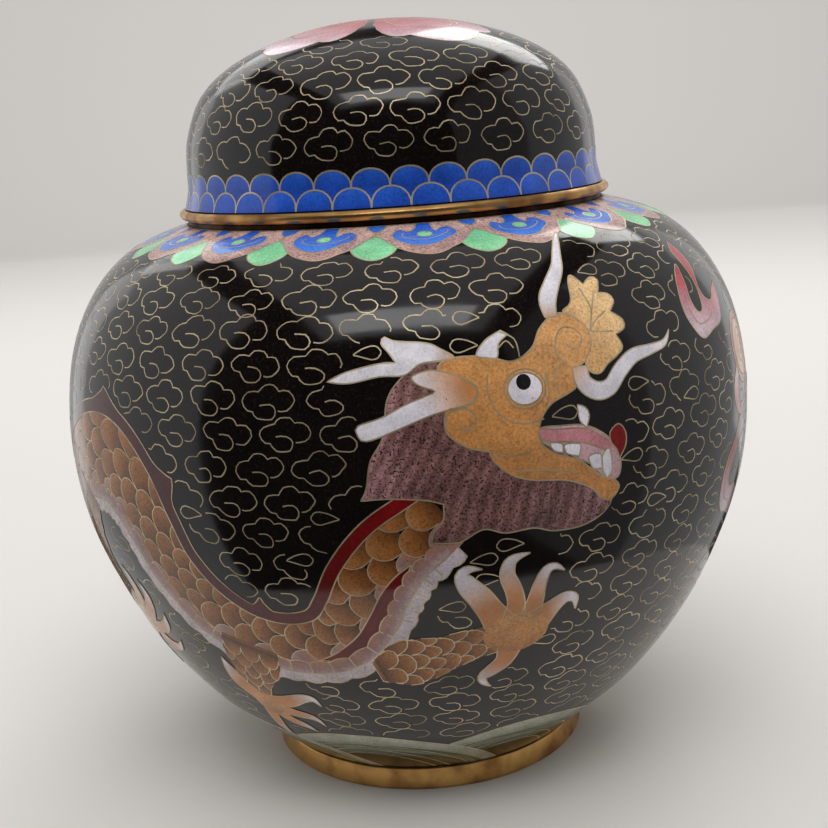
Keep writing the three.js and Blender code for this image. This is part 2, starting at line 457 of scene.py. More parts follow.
def turn(name, section, finish, body, solid=True, rounding=0.0):
    bm = bmesh.new()
    loop = [bm.verts.new((r * MM, 0, z * MM)) for r, z in section]
    edges = [bm.edges.new(pair) for pair in zip(loop, loop[1:])]
    if solid:
        edges.append(bm.edges.new((loop[-1], loop[0])))
    if rounding:
        bmesh.ops.bevel(bm, geom=loop + edges, offset=rounding * MM, offset_type="OFFSET",
                        affect="VERTICES", segments=4, profile=0.5, material=-1)
    bmesh.ops.spin(bm, geom=bm.verts[:] + bm.edges[:], axis=(0, 0, 1), cent=(0, 0, 0),
                   steps=AROUND, angle=TURN, use_merge=True)
    bmesh.ops.remove_doubles(bm, verts=bm.verts[:], dist=MERGE * MM)
    bmesh.ops.recalc_face_normals(bm, faces=bm.faces[:])
    for face in bm.faces:
        face.smooth = True
    piece = finish_piece(name + "_smooth", bm, finish, body, nodes=[name])
    piece.data.set_sharp_from_angle(angle=CORNER_ANGLE)
    return piece


def steps(start, stop, longest):
    count = max(1, math.ceil(abs(stop - start) / longest))
    return [start + (stop - start) * k / count for k in range(count + 1)]


def line_of(face, start, stop, depth, longest=3.0):
    """Points along a face at one depth; where cells lie on it they must be close together."""
    return [face.at(s, depth) for s in steps(start, stop, longest)]


def coat(name, face, start, stop, outer, inner, finish, body):
    front = line_of(face, start, stop, outer, longest=1.2)
    back = line_of(face, start, stop, inner, longest=6.0)[::-1]
    return turn(name, front + back, finish, body)


# %% [markdown]
# ## Shells and coats
# The jar is built like an onion: enamel outside, spun copper in the middle, counter-enamel
# inside. The depths under the face say where each layer lies, with a hair of room between them.

# %% Shells and coats
ENAMEL, COPPER, LINING, SEAM = 0.8, 1.0, 0.5, 0.05
SHELL_FACE = ENAMEL + SEAM
SHELL_BACK = SHELL_FACE + COPPER
LINING_FACE = SHELL_BACK + SEAM
LINING_BACK = LINING_FACE + LINING
WAVE_BORDER, SHOULDER_BORDER, SCALE_BORDER = 18, 16, 9
HALF_GAP = 0.02
GIRTH_SEAM = 92
SHOULDER, SEAT_TOP = 151.6, 153
NECK_RADIUS, NECK_HEIGHT, LIP = 51, 13, 1.9
NECK_TOP = SHOULDER + NECK_HEIGHT
BORE = NECK_RADIUS - COPPER
TOP, LID_TOP = BODY_FACE.length, LID_FACE.length
girth_at = next(s for s in steps(0, TOP, 0.1) if BODY_FACE.at(s)[1] >= GIRTH_SEAM)


def bowl(name, stop, outer, inner, rim, finish):
    front = line_of(BODY_FACE, 0, stop, outer)
    back = line_of(BODY_FACE, 0, stop, inner)[::-1]
    section = [(0, front[0][1]), *front, *rim, *back, (0, back[-1][1])]
    return turn(name, section, finish, "jar", solid=False)


def dome(name, start, outer, inner, finish):
    front = line_of(LID_FACE, start, LID_TOP, outer, longest=1.5)
    back = line_of(LID_FACE, start, LID_TOP, inner)[::-1]
    front[-1], back[0] = (0, front[-1][1]), (0, back[0][1])
    return turn(name, back + front, finish, "lid", solid=False)


bowl("lower_shell", girth_at, SHELL_FACE, SHELL_BACK, [], "copper")
shell_front = line_of(BODY_FACE, girth_at + SEAM, TOP, SHELL_FACE)
shell_back = line_of(BODY_FACE, girth_at + SEAM, TOP, SHELL_BACK)[::-1]
shell_rim = [(NECK_RADIUS + SEAM, shell_front[-1][1]), (NECK_RADIUS + SEAM, shell_back[0][1])]
turn("upper_shell", shell_front + shell_rim + shell_back, "copper", "jar")
coat("wave_border_enamel", BODY_FACE, 0, WAVE_BORDER - HALF_GAP, 0, ENAMEL, "wave", "jar")
coat("body_enamel", BODY_FACE, WAVE_BORDER + HALF_GAP, TOP - SHOULDER_BORDER - HALF_GAP,
     0, ENAMEL, "black", "jar")
coat("shoulder_border_enamel", BODY_FACE, TOP - SHOULDER_BORDER + HALF_GAP, TOP, 0, ENAMEL,
     "black", "jar")
lining_rim = [(BORE - SEAM, BODY_FACE.at(TOP, LINING_FACE)[1]), (BORE - SEAM, NECK_TOP),
              (BORE - SEAM - LINING, NECK_TOP),
              (BORE - SEAM - LINING, BODY_FACE.at(TOP, LINING_BACK)[1])]
bowl("interior_enamel", TOP, LINING_FACE, LINING_BACK, lining_rim, "lining")
dome("lid_shell", 0, SHELL_FACE, SHELL_BACK, "copper")
dome("lid_interior_enamel", 0, LINING_FACE, LINING_BACK, "lining")
dome("lid_enamel", SCALE_BORDER + HALF_GAP, 0, ENAMEL, "black")
coat("lid_scale_border_enamel", LID_FACE, 0, SCALE_BORDER - HALF_GAP, 0, ENAMEL, "black", "lid")

# %% [markdown]
# ## Neck, foot and rings
# The lid slips over a low neck and comes down on a gilt seat ring, which is coloured dark brass as
# painted shade for the shadow under the lid's rim. Rings take the knocks, so they have rounded
# corners, and all but the seat ring have the smoother gilt finish.

# %% Neck, foot and rings
def square_section(outer, inner, bottom, top):
    return [(outer, bottom), (outer, top), (inner, top), (inner, bottom)]


shoulder_top = BODY_FACE.at(TOP, SHELL_FACE)[1] + SEAM
neck_face = NECK_RADIUS + SEAM + LINING
turn("neck_collar", square_section(NECK_RADIUS, BORE, BODY_FACE.at(TOP, SHELL_BACK)[1],
                                   NECK_TOP), "copper", "jar")
turn("neck_enamel", square_section(neck_face, NECK_RADIUS + SEAM, shoulder_top, NECK_TOP),
     "black", "jar")
lip_arc = [math.pi * k / 12 for k in range(13)]
turn("neck_lip_ring", [(NECK_RADIUS - COPPER / 2 + LIP / 2 * math.cos(a),
                        NECK_TOP + SEAM + LIP / 2 * math.sin(a)) for a in lip_arc],
     "gilt", "jar")
# The seat ring's dark brass is painted shade for the shadow under the lid's rim.
turn("seat_ring", square_section(55.8, neck_face + SEAM, shoulder_top, SEAT_TOP - SEAM), "under_lid_shade",
     "jar", rounding=0.3)
turn("foot_ring", [(43.9, 0), (44.8, 0.9), (44.2, 6.4), (39.5, 6.4), (39.5, 0.9), (40.4, 0)],
     "gilt", "jar", rounding=0.35)
base_top = BODY_FACE.at(0, SHELL_FACE)[1] - SEAM
turn("base_enamel", [(0, base_top - LINING), (39.45, base_top - LINING), (39.45, base_top),
                     (0, base_top)], "lining", "jar", solid=False)
turn("lid_rim_ring", [(57.0, SEAT_TOP), (57.9, 153.9), (57.9, 154.7), (57.0, 155.6),
                      (53.4, 154.9), (53.4, SEAT_TOP)], "gilt", "lid", rounding=0.35)

# %% [markdown]
# ## Drawing on a sheet, then wrapping it
# The decoration is drawn on a flat sheet, as an enameller plans it on paper. On the body's sheet
# x runs round the girth and y runs up the face from the foot. The lid's side has a sheet of its
# own, and the crown has a round one that is seen from above. A cell of enamel is one filled
# outline, and a wire is a flat strip, because the real wires are ground level with the glass.
# Cells lie in layers a hundredth of a millimetre apart, so that one shape can lie over another,
# and a wire is cut away where a higher cell hides it.

# %% Sheets
LIFT, LAYER, PROUD, WIRE, CLOUD_WIRE = 0.02, 0.012, 0.01, 0.32, 0.29
TOO_CLOSE, CUT, FINE_CUT = 0.03, 1.6, 1.0


def on_jar(side, front, frame_here, lift):
    """Place and normal of a point that is lifted off a face, towards one side of the axis."""
    r, z, out_r, out_z = frame_here
    r, z = r + lift * out_r, z + lift * out_z
    return (Vector((r * side, r * front, z)) * MM, Vector((out_r * side, out_r * front, out_z)))


def on_face(face):
    return lambda x, y, lift: on_jar(math.sin(x / face.girth), -math.cos(x / face.girth),
                                     face.frame(y), lift)


def on_crown(x, y, lift):
    far = math.hypot(x, y)
    side, front = (x / far, y / far) if far > 1e-6 else (0.0, 0.0)
    r, *rest = LID_FACE.frame(LID_FACE.length - far)
    return on_jar(side, front, (max(r, 0.0), *rest), lift)


def shifted(line, shift):
    """The line moved along x, without points that almost touch the next one."""
    moved = [(p[0] + shift, p[1]) for p in line]
    return moved, [p for p, q in zip(moved, moved[1:] + moved[:1]) if math.dist(p, q) > TOO_CLOSE]


class Sheet:
    """A flat drawing of cells and wires that will be wrapped on one face of the jar."""

    def __init__(self, name, body, place=None, face=None, repeats=(0,)):
        self.name, self.body, self.face, self.repeats = name, body, face, repeats
        self.place = on_face(face) if face else place
        self.cells, self.wires = {}, []

    def stretch(self, y):
        """How many times wider the sheet is than the jar at this height."""
        return self.face.girth / self.face.at(y)[0] if self.face else 1.0

    def cell(self, finish, line, layer=0, tone=0.5, rise=0.0, edge=True, cut=CUT):
        shade = tone if callable(tone) else lambda x, y: tone
        for shift in self.repeats:
            record = (shifted(line, shift)[1], layer, lambda x, y, s=shift: shade(x - s, y),
                      rise, cut)
            self.cells.setdefault(finish, []).append(record)
        if edge:
            self.wire(line, True, layer)

    def wire(self, line, closed=False, layer=0, width=WIRE):
        for shift in self.repeats:
            moved, kept = shifted(line, shift)
            if not closed and kept[-1] != moved[-1]:
                kept.append(moved[-1])
            self.wires.append((kept, closed, layer, width))

    def cover(self, above=-1):
        """Search tree of the cells that lie above a layer."""
        corners, triangles = [], []
        for group in self.cells.values():
            for line, layer, *_ in group:
                if layer > above:
                    start = len(corners)
                    flat = [Vector((x, y, 0)) for x, y in line]
                    corners += flat
                    triangles += [[start + i for i in t] for t in tessellate_polygon([flat])]
        return BVHTree.FromPolygons(corners, triangles) if triangles else None


# %% [markdown]
# ## From drawing to mesh
# A cell is filled with one face and split into triangles. Planes cut it every millimetre or two,
# so that it can bend with the jar, and a skirt is extruded from its rim down to the ground. Its
# normals are taken from the jar's own face, so the gloss runs on across the wires without a
# break. A wire starts as a chain of edges: extruding the chain once and moving the new points
# aside makes a strip of faces.

# %% Cell and wire builders
def fill_cell(bm, mark, index, line, height, cut):
    area = sum(a[0] * b[1] - b[0] * a[1] for a, b in zip(line, line[1:] + line[:1]))
    corners = [bm.verts.new((x, y, height)) for x, y in (line if area > 0 else line[::-1])]
    for v in corners:
        v[mark] = index
    whole = bm.faces.new(corners)
    whole.normal_update()
    parts = bmesh.ops.triangulate(bm, faces=[whole], quad_method="BEAUTY",
                                  ngon_method="EAR_CLIP")["faces"]
    geom = list({v for f in parts for v in f.verts} | {e for f in parts for e in f.edges}
                | set(parts))
    for axis, normal in enumerate((Vector((1, 0, 0)), Vector((0, 1, 0)))):
        low, high = min(p[axis] for p in line), max(p[axis] for p in line)
        k = math.floor(low / cut) + 1
        while k * cut < high:
            geom = bmesh.ops.bisect_plane(bm, geom=geom, dist=0.001, plane_co=normal * k * cut,
                                          plane_no=normal)["geom"]
            k += 1


def new_points(made):
    """The vertices among what an extrusion has made."""
    return [v for v in made["geom"] if isinstance(v, bmesh.types.BMVert)]


def bend_wire(bm, mark, line, closed, height, width, stretch=lambda y: 1.0):
    last = len(line) - 1
    aside, near_edge = [], []
    for i, (x, y) in enumerate(line):
        behind = line[i - 1] if i or closed else line[0]
        ahead = line[(i + 1) % len(line)] if i < last or closed else line[last]
        wide = stretch(y)
        dx, dy = (ahead[0] - behind[0]) / wide, ahead[1] - behind[1]
        length = math.hypot(dx, dy) or 1.0
        aside.append(Vector((-dy / length * wide, dx / length, 0)) * width)
        near_edge.append(bm.verts.new(Vector((x, y, height)) - aside[i] / 2))
        near_edge[i][mark] = i
    chain = [bm.edges.new((near_edge[i - 1], near_edge[i]))
             for i in range(0 if closed else 1, len(line))]
    for v in new_points(bmesh.ops.extrude_edge_only(bm, edges=chain)):
        v.co += aside[v[mark]]


def face_up(bm):
    """Turn every face to look up, and shade it smoothly."""
    for face in bm.faces:
        face.smooth = True
        face.normal_update()
        if face.normal.z < 0:
            face.normal_flip()


def glossy_piece(name, bm, finish, body, normals):
    """Finish a wrapped piece and give it the normals of the jar's own face."""
    piece = finish_piece(name, bm, finish, body)
    piece.data.normals_split_custom_set_from_vertices(normals)
    return piece


def wrap_cells(sheet, finish):
    bm = bmesh.new()
    tone_mark = bm.verts.layers.float.new("tone")
    mark = bm.verts.layers.int.new("cell")
    records = sheet.cells[finish]
    for index, (line, layer, _, _, cut) in enumerate(records):
        fill_cell(bm, mark, index, line, LIFT + LAYER * layer, cut)
    face_up(bm)
    rim = [edge for edge in bm.edges if edge.is_boundary]
    skirt = set(new_points(bmesh.ops.extrude_edge_only(bm, edges=rim)))
    normals = []
    for v in bm.verts:
        _, _, shade, rise, _ = records[v[mark]]
        tone = min(max(shade(v.co.x, v.co.y), 0.0), 1.0)
        v[tone_mark] = tone
        lift = 0.0 if v in skirt else v.co.z + rise * tone
        v.co, normal = sheet.place(v.co.x, v.co.y, lift)
        normals.append(normal)
    return glossy_piece(f"{sheet.name}_{finish}_cells", bm, finish, sheet.body, normals)


def wrap_wires(sheet):
    bm = bmesh.new()
    bm.verts.layers.int.new("spot")
    for layer in sorted({w[2] for w in sheet.wires}):
        one = bmesh.new()
        spot = one.verts.layers.int.new("spot")
        for line, closed, level, width in sheet.wires:
            if level == layer:
                bend_wire(one, spot, line, closed, LIFT + PROUD + LAYER * layer, width,
                          sheet.stretch)
        hide_covered(one, sheet.cover(layer))
        scrap = bpy.data.meshes.new("scrap")
        one.to_mesh(scrap)
        one.free()
        bm.from_mesh(scrap)
        bpy.data.meshes.remove(scrap)
    return wrap_strips(sheet, bm, f"{sheet.name}_wires")


def wrap_strips(sheet, bm, name):
    face_up(bm)
    normals = []
    for v in bm.verts:
        v.co, normal = sheet.place(v.co.x, v.co.y, v.co.z)
        normals.append(normal)
    return glossy_piece(name, bm, "wire", sheet.body, normals)


def hide_covered(bm, tree):
    """Delete the faces that a ray from high above the sheet can't see past the cells."""
    if not tree:
        return
    high, down = Vector((0, 0, 5)), Vector((0, 0, -1))
    hidden = []
    for face in bm.faces:
        spot = face.calc_center_median()
        spot.z = 0
        if tree.ray_cast(spot + high, down, 2 * high.z)[0]:
            hidden.append(face)
    bmesh.ops.delete(bm, geom=hidden, context="FACES")


figures = Sheet("dragon", "jar", face=BODY_FACE, repeats=(0, GIRTH / 2))


def fade(start, stop, first=0.0, last=1.0):
    """A tone that runs from first to last between two places."""
    dx, dy = stop[0] - start[0], stop[1] - start[1]
    span = dx * dx + dy * dy

    def tone(x, y):
        w = min(max(((x - start[0]) * dx + (y - start[1]) * dy) / span, 0.0), 1.0)
        return first + (last - first) * w
    return tone


# %% [markdown]
# ## The dragon's body
# The body is a ribbon with a curved middle line. A run holds that line and its half width, and
# turns a place along and across the ribbon into a place on the sheet. Scales are set in rows like
# roof tiles, half a scale aside in every second row. Each one rises a hair from root to tip, so
# its tip lies over the root of the next.

# %% Body run and scales
class Run:
    def __init__(self, points):
        self.line = soft(points, closed=False, step=1.0)
        self.reach = [0.0]
        for a, b in zip(self.line, self.line[1:]):
            self.reach.append(self.reach[-1] + math.dist(a[:2], b[:2]))
        self.length = self.reach[-1]

    def spot(self, along):
        i = min(max(bisect_right(self.reach, along) - 1, 0), len(self.line) - 2)
        w = (along - self.reach[i]) / (self.reach[i + 1] - self.reach[i])
        a, b = self.line[i], self.line[i + 1]
        x, y, half = (p + (q - p) * w for p, q in zip(a, b))
        before, after = self.line[max(i - 2, 0)], self.line[min(i + 3, len(self.line) - 1)]
        dx, dy = after[0] - before[0], after[1] - before[1]
        length = math.hypot(dx, dy)
        return x, y, half, -dy / length, dx / length

    def at(self, along, across, extra=0.0):
        x, y, half, nx, ny = self.spot(along)
        offset = across * half + extra
        return x + nx * offset, y + ny * offset

    def edge(self, start, stop, across, extra=lambda along: 0.0, step=1.3):
        return [self.at(s, across, extra(s)) for s in steps(start, stop, step)]


SCALE = [(0, -1), (3.2, -1), (5.4, -0.85), (7.0, -0.45), (7.5, 0), (7.0, 0.45), (5.4, 0.85),
         (3.2, 1), (0, 1)]
SCALE_LENGTH, SCALE_RISE, BARE, TIP_WIRE = 7.5, 0.022, 2.4, 0.26
ROW, SCALE_WIDTH = 5.2, 7.4


def lay_scales(run, start, stop, layer=0, pale_from=0.45, row=ROW, width=SCALE_WIDTH):
    grow = row / ROW
    for line, along in enumerate(steps(start, stop, row)):
        half = run.spot(along)[2]
        count = max(2, round(2 * half / width))
        odd = line % 2
        for k in range(count + odd):
            middle = -1 + (2 * k + 1 - odd) / count
            shape = [(along + du * grow, min(max(middle + df / count, -1.05), 1.05))
                     for du, df in SCALE]
            outline = soft([run.at(*p) for p in shape], closed=False, step=1.3)
            root, end = run.at(along, middle), run.at(along + SCALE_LENGTH * grow, middle)
            finish, dark, light = ("bone", 0.05, 0.55) if middle > pale_from else (
                "scale", 0.1, 0.8)
            figures.cell(finish, outline, layer, fade(root, end, dark, light), SCALE_RISE,
                         edge=False)
            bare = along + BARE * grow
            tip_line = [(bare, shape[0][1]), *shape[2:-2], (bare, shape[-1][1])]
            figures.wire(soft([run.at(*p) for p in tip_line], closed=False, step=1.2),
                         layer=layer + 1, width=TIP_WIRE)


TRUNK = Run([(9, 103, 6.5), (2, 97.5, 7.6), (-5, 92, 8.3), (-10.5, 84.5, 9), (-14.5, 76.5, 9.2),
             (-19.5, 70, 9), (-27, 66.5, 8.6), (-37, 66, 8.3), (-48, 68.5, 9), (-58, 75.5, 9.4),
             (-65.5, 85.5, 9.3), (-70, 95, 9.8), (-75.5, 103.5, 11), (-83.5, 109.2, 11.6),
             (-93, 109.6, 11.2), (-104, 106.3, 9.7), (-114, 100.5, 8.8), (-123, 92, 8),
             (-131, 84.5, 7), (-140, 80.5, 5.8), (-149, 82, 4.4), (-155, 88, 3), (-158, 95, 1.6)])
lay_scales(TRUNK, 3, TRUNK.length - 8)
print("trunk length:", round(TRUNK.length), "cells:", sum(map(len, figures.cells.values())))


# %% [markdown]
# ## Fins and belly
# A red fin follows the back, with a spike every few rows. The belly has a band of pale plates and
# outside it a white hem with a scalloped edge. All three follow the trunk, so their outlines are
# formulas along the run and need no points of their own.

# %% Fins and belly
SPIKES = (68, 115, 133, 160, 180, 198)
RIM = 0.97


def spikes(along):
    """Thickness of the back fin, with a pointed spike at a few places."""
    near = min(abs(along - spike) for spike in SPIKES)
    return -(3.3 + 3.6 * max(0, 1 - near / 4.5) ** 1.7)


fade_fin = TRUNK.length - 6
back = TRUNK.edge(2, fade_fin, -RIM)
fin = TRUNK.edge(2, fade_fin, -RIM, spikes, step=0.9)
figures.cell("red", back + fin[::-1], 4, fade((-8, 104), (-60, 90), 0.1, 1))

PLATE = 5.0
plate_ends = steps(8, TRUNK.length - 20, PLATE)
for start, stop in zip(plate_ends, plate_ends[1:]):
    inner = TRUNK.edge(start, stop, RIM, lambda s: -3.6 - 0.8 * math.sin(
        math.pi * (s - start) / (stop - start)))
    outer = TRUNK.edge(start, stop, RIM)
    figures.cell("bone", inner + outer[::-1], 3, fade(inner[0], outer[0], 0.25, 0.6))
hem_end = TRUNK.length - 14
hem = TRUNK.edge(6, hem_end, RIM)
scallop = TRUNK.edge(6, hem_end, RIM, lambda s: 2.7 + 0.9 * abs(math.sin(math.pi * s / PLATE)))
figures.cell("bone", hem + scallop[::-1], 4, 0.85)
for along in plate_ends[1:-1]:
    figures.wire([TRUNK.at(along, RIM, out) for out in (0.2, 1.4, 2.6)], layer=4, width=0.3)

for side in (-1, 1):
    tail = stroke([(-157.5, 92, 2.2), (-160, 98 + 2 * side, 3.2), (-158 - 4 * side, 106, 2.6),
                   (-161 - 7 * side, 113, 0.1)])
    figures.cell("red", tail, 5 + (side > 0), fade((-157, 93), (-160, 113), 0.2, 1))
throat = [(*TRUNK.at(along, 0.42), half) for along, half in
          ((17, 0.1), (22, 1.2), (28, 2), (35, 2.4), (42, 2.3), (49, 1.4), (54, 0.1))]
figures.cell("red", stroke(throat), 2, 0.35)
print("belly plates:", len(plate_ends) - 1)

# %% [markdown]
# ## Legs and claws
# A leg is a short run with smaller scales of its own. A foot is a palm with tapering fingers, and
# each finger is one stroke whose half width falls to nothing at the claw. Its tone runs from
# ochre at the palm to white at the tip.

# %% Legs and feet
LEG_LAYER, FOOT_LAYER, NO_PALE = 5, 8, 2


def leg(points):
    run = Run(points)
    figures.cell("scale", stroke(points), LEG_LAYER, 0.4)
    lay_scales(run, 1, run.length - 4, LEG_LAYER + 1, pale_from=NO_PALE, row=4.2, width=5.6)


def foot(x, y, across, up, fingers):
    for points in fingers:
        figures.cell("horn", stroke(points), FOOT_LAYER, fade((x, y), points[-1][:2], -1.2, 1.1))
    figures.cell("ochre", oval(x, y, across, up), FOOT_LAYER + 1,
                 fade((x, y - up), (x, y + up), 0.3, 0.6), edge=False)


leg([(-13, 59, 3.6), (-5, 61.5, 7.4), (4, 63.6, 5.8), (10, 65.6, 4.9), (17, 67, 4.4)])
foot(23.2, 68, 8.6, 6, [
    [(19, 71, 4), (16, 76, 3.1), (13.4, 80, 2.9), (10.6, 83.6, 2.4), (9.3, 86.4, 1.6),
     (11, 87.9, 0.9), (14, 87.5, 0.05)],
    [(22, 72, 3), (22.4, 77, 2.2), (21.5, 81, 2), (19.9, 85, 1.8), (20.4, 88.2, 1.5),
     (22.4, 89.5, 0.8), (25.2, 90, 0.05)],
    [(26, 71, 3), (27.2, 76.5, 2.2), (28.1, 81.5, 1.7), (29.6, 84.8, 1.3), (31.8, 85.3, 0.8),
     (34.2, 83.8, 0.05)],
    [(28, 70, 4), (32.6, 74.3, 2.2), (35.6, 76, 1.6), (38.1, 75, 1), (38.8, 71.8, 0.05)],
    [(22, 64.5, 3.6), (20.6, 59.5, 2.5), (17.2, 56.4, 2), (15, 54.6, 1.4), (15.8, 52.2, 0.8),
     (17.8, 50.5, 0.05)]])

leg([(-48, 66, 8.5), (-50.4, 58, 8), (-53, 51, 5), (-53.6, 44, 4)])
foot(-54, 41.5, 5, 5, [
    [(-56, 44, 3), (-59.6, 49, 3), (-60.8, 54, 2.2), (-61.4, 58.5, 0.05)],
    [(-52, 43, 2.4), (-45, 44.4, 2.4), (-39, 46.8, 1.7), (-35.2, 47, 1.1), (-33.5, 44, 0.05)],
    [(-51, 40, 2.4), (-45, 38.8, 1.8), (-39, 37.4, 1.2), (-36.5, 33.5, 0.05)],
    [(-53, 38, 2.4), (-49, 34, 1.9), (-44.6, 31.8, 1.2), (-42, 29, 0.05)],
    [(-56, 38, 2.2), (-58, 31, 2), (-59.6, 25, 1.3), (-60, 20.5, 0.05)]])

leg([(-100, 100, 7), (-105, 90, 7.4), (-104, 79, 5.8), (-99, 69, 4.2), (-97.5, 65, 4)])
foot(-97, 61.5, 5, 5, [
    [(-95, 65, 2.6), (-91.5, 71, 2.4), (-91.4, 76, 1.5), (-93.5, 80, 0.05)],
    [(-94, 63, 2.6), (-88, 67.5, 2.2), (-84.6, 72.6, 1.5), (-86, 77.5, 0.05)],
    [(-93, 61, 2.4), (-87, 61.5, 2), (-82, 64.2, 1.4), (-79.6, 68.5, 0.05)],
    [(-94, 58, 2.4), (-88, 55.5, 1.9), (-82.6, 56, 1.2), (-79, 59.5, 0.05)],
    [(-99, 58, 2.4), (-103, 53, 2), (-103.6, 47.6, 1.3), (-100, 43.5, 0.05)]])
print("cells so far:", sum(map(len, figures.cells.values())))

# %% [markdown]
# ## The dragon's head
# The head is drawn feature by feature, from the mane at the back to the teeth in front. The mane
# goes on first, because the face and horns lie over it. It has no wires inside, only streaks of
# tone, so it is cut into small faces that can carry them.

# %% Mane
MANE = [(3, 134.5), (-1, 132), (-4.5, 127.5), (-6, 119.5), (-9, 114.5), (-10.3, 108.5),
        tip(-11.7, 105.8), (-6, 106), (2, 105.2), tip(6, 104), (5.8, 100.5), (3.6, 97.5),
        tip(3, 95.2), (9, 94.8), (14.5, 97.2), (19.5, 95.7), (26, 95.9), (31, 94.4), (38, 94.3),
        (43.5, 96.2), (46, 99.3), (46, 104), (36, 110), (28, 118), (24, 128), (14, 134)]
LOCK, LOCK_LEAN = 3.4, 0.45


def locks(x, y):
    """Streaks of hair: waves across the mane, paler towards its two ends."""
    across = x - LOCK_LEAN * y + 0.8 * math.sin(y / 4)
    ends = max(0.0, (2 - x) / 14, (x - 34) / 14)
    return 0.45 + 0.2 * math.sin(TURN * across / LOCK) + 0.5 * min(ends, 1)


figures.cell("mane", soft(MANE), 5, locks, cut=0.9)

# %% Face
HEAD = [(10, 135.2), (18, 135), (24, 133.2), (29.2, 135.5), (32.2, 139.5), (36.5, 142.2),
        (40.5, 142), (44.3, 138.8), (44.9, 135), (42, 131), tip(38.5, 129.8), (38.7, 126),
        (36.5, 124.7), (32, 123), (29, 119.7), (28.4, 115.4), (31.5, 112.2), (37, 110),
        (40, 107.7), (43.5, 104.7), (46, 104), (48, 101.8), (46, 99.3), (43.5, 99.6), (40, 103),
        (34, 105.7), (26, 107), (21, 109), (17.5, 112.4), tip(16.7, 114.5), (12.5, 115.7),
        (9, 118), (7.5, 120.5), (8.4, 124.4), (14, 125.5), (15.4, 128), (13, 130.4), (7, 133)]
figures.cell("ochre", soft(HEAD), 7, fade((12, 106), (30, 140), 0.35, 0.62))
LOWER_HORN = [(6, 133), (1.2, 132), (2.5, 130), (6, 128.5), (4, 127.7), (-1, 126), (-6, 123.7),
              (-11.2, 122.2), (-11.5, 120.4), (-9.5, 118.8), (-2, 121.2), (3.8, 123.2),
              (8.6, 124.3), (13.5, 125), (15.4, 127.5), (12.5, 130.6)]
figures.cell("horn", soft(LOWER_HORN), 8, fade((13, 129), (2, 125.5), 0, 1.05))
UPPER_HORN = [(11, 135.3), (8, 137.5), (5, 139), (-2.5, 140), (-4.4, 141), (-5.3, 139.6),
              (-3.7, 137.5), tip(-2.2, 135.2), (-6, 135.2), (-13.5, 133.7), tip(-17.8, 131.8),
              (-13, 131.3), (-6, 132.4), (-0.5, 132.4), (3, 134.5), (6.5, 134.9)]
figures.cell("horn", soft(UPPER_HORN), 8, fade((11, 135), (6, 136), 0.3, 1))
BROW = [(16, 135.4), (18.6, 138.4), tip(22.6, 140.2), tip(24.2, 139.2), (21.6, 137.4),
        (20.8, 134.4), (18.4, 134.6)]
figures.cell("horn", soft(BROW), 8, 1.0)
WHISKER = [(36, 141.8, 1.6), (36.4, 145.6, 2.2), (39.2, 149.4, 1.9), (43.2, 153.8, 1.5),
           (46, 158.2, 1.1), (49.6, 162.8, 0.7), (52.5, 165.5, 0.05)]
figures.cell("horn", stroke(WHISKER), 8, fade((36, 142), (37, 145.5), 0.4, 1))
LOW_WHISKER = [(40.4, 130, 2), (40.6, 126.6, 2), (43.6, 124.2, 2), (47.4, 124.4, 1.9),
               (51.2, 127.6, 1.9), (56, 130.1, 1.6), (62, 130.7, 1.1), (67.2, 131.4, 0.7),
               (70.3, 134, 0.05)]
figures.cell("horn", stroke(LOW_WHISKER), 8, fade((40, 130), (43, 125), 0.4, 1))
CREST = [(39.5, 142.5), (42.6, 144.6), (44.2, 149.5), (46, 151.2), tip(48.4, 148.4), (51.5, 150),
         (53.4, 149), tip(51.6, 145.8), (54.4, 145.2), (55.4, 143.4), tip(53, 141), (55.9, 138.6),
         (55.4, 136.6), tip(52.4, 135.6), (53.4, 132.6), (51, 130.8), (48, 129.5), (45.5, 127.8),
         (43, 128.4), (42, 131), (44.8, 136), (43.4, 139.8)]
figures.cell("ochre", soft(CREST), 6, fade((44, 134), (52, 141), 0.75, 1))
for end in ((46.6, 147.6), (50.4, 146.2), (51.8, 141.4), (51.8, 136.4)):
    figures.wire(soft([(45.4, 137.4), (47.6, (137.4 + end[1]) / 2), end], closed=False), layer=6,
                 width=0.34)

# %% Nose, cheek, eye and ear
NOSE = [(37, 131.2), (35.2, 133.5), (35.5, 136.2), (37, 138.5), (39.2, 139.1), (41.5, 138.2),
        (42.6, 136.2), (41.5, 134.5), (39.5, 134.2), (38.2, 135.3)]
CHEEK = [(7.7, 120.4), (8, 122.9), (10, 124.2), (13, 124), (14.5, 122), (13.8, 120.4),
         (12, 119.7), (10.7, 120.6)]
EAR = [(12, 130.7), (14.5, 129.5), (15.4, 127.5), (14, 125.5), (11, 124.7), (8.7, 124.5)]
BROW_LINES = [[(22, 140), (25.5, 138), (26, 134)], [(21.5, 136.5), (23.5, 137.8), (25, 136)],
              [(29.8, 120), (24.6, 119.6), (20, 122), (17.6, 126.6), (18, 131)],
              [(30.4, 122.4), (31.8, 125.6), (31.4, 130)], [(34.4, 124.6), (33.4, 128),
                                                            (35, 131)],
              [(17, 114.5), (21, 113), (26, 113.2)], [(22, 109.6), (30, 108.6), (37, 107)]]
for line in (NOSE, CHEEK, EAR, *BROW_LINES):
    figures.wire(soft(line, closed=False), layer=8)
figures.cell("horn", oval(26.2, 127, 4.1, 3.5), 8, 1.0)
figures.cell("black", oval(26, 128.5, 1.75, 1.75, 14), 9, 0.0, edge=False)
figures.wire(oval(26.2, 127, 4.9, 4.3), True, 8, 0.32)

